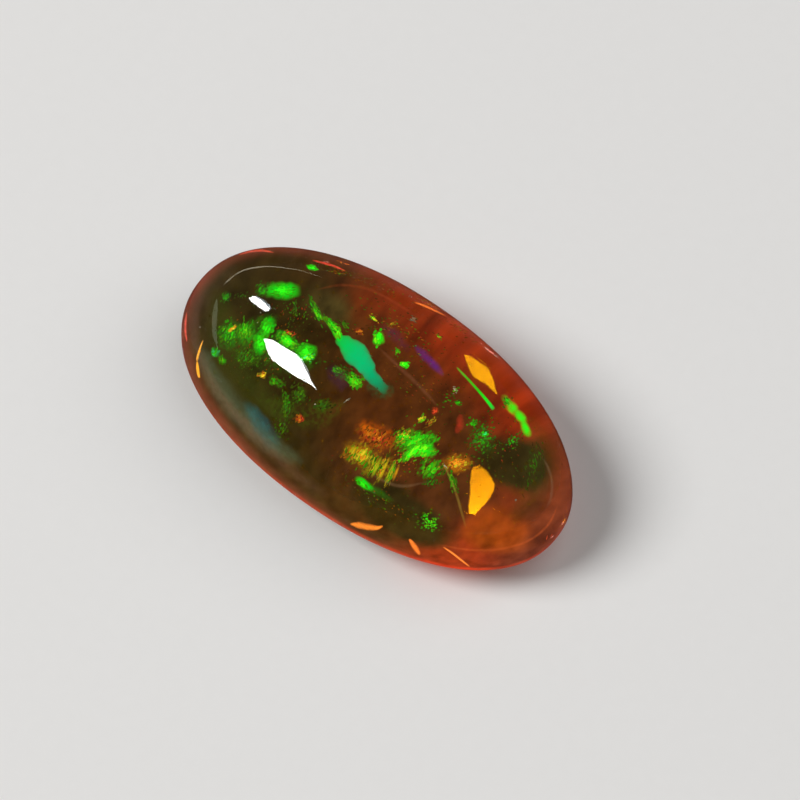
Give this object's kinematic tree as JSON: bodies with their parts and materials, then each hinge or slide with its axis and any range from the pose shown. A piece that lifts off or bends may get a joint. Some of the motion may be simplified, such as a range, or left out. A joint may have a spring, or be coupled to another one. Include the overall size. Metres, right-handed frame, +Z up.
{
  "type": "opal cabochon",
  "caption": "Polished oval cabochon of clear orange-brown opal with play of colour, high domed, with a shallow rounded underside and a small flat to rest on or set in a mount.",
  "frame": {"origin": "middle of the small flat on the underside, which is the middle of the bottom of the stone's box", "axes": "+X along the stone's length, +Y across its width, +Z up through the top of the dome"},
  "size_m": [0.012, 0.0064, 0.0045],
  "materials": {
    "opal": "clear orange-brown opal, highly polished, with patches of green, blue-green and orange play of colour inside"
  },
  "bodies": {
    "root": {"opal_cabochon": "opal"}
  },
  "joints": []
}
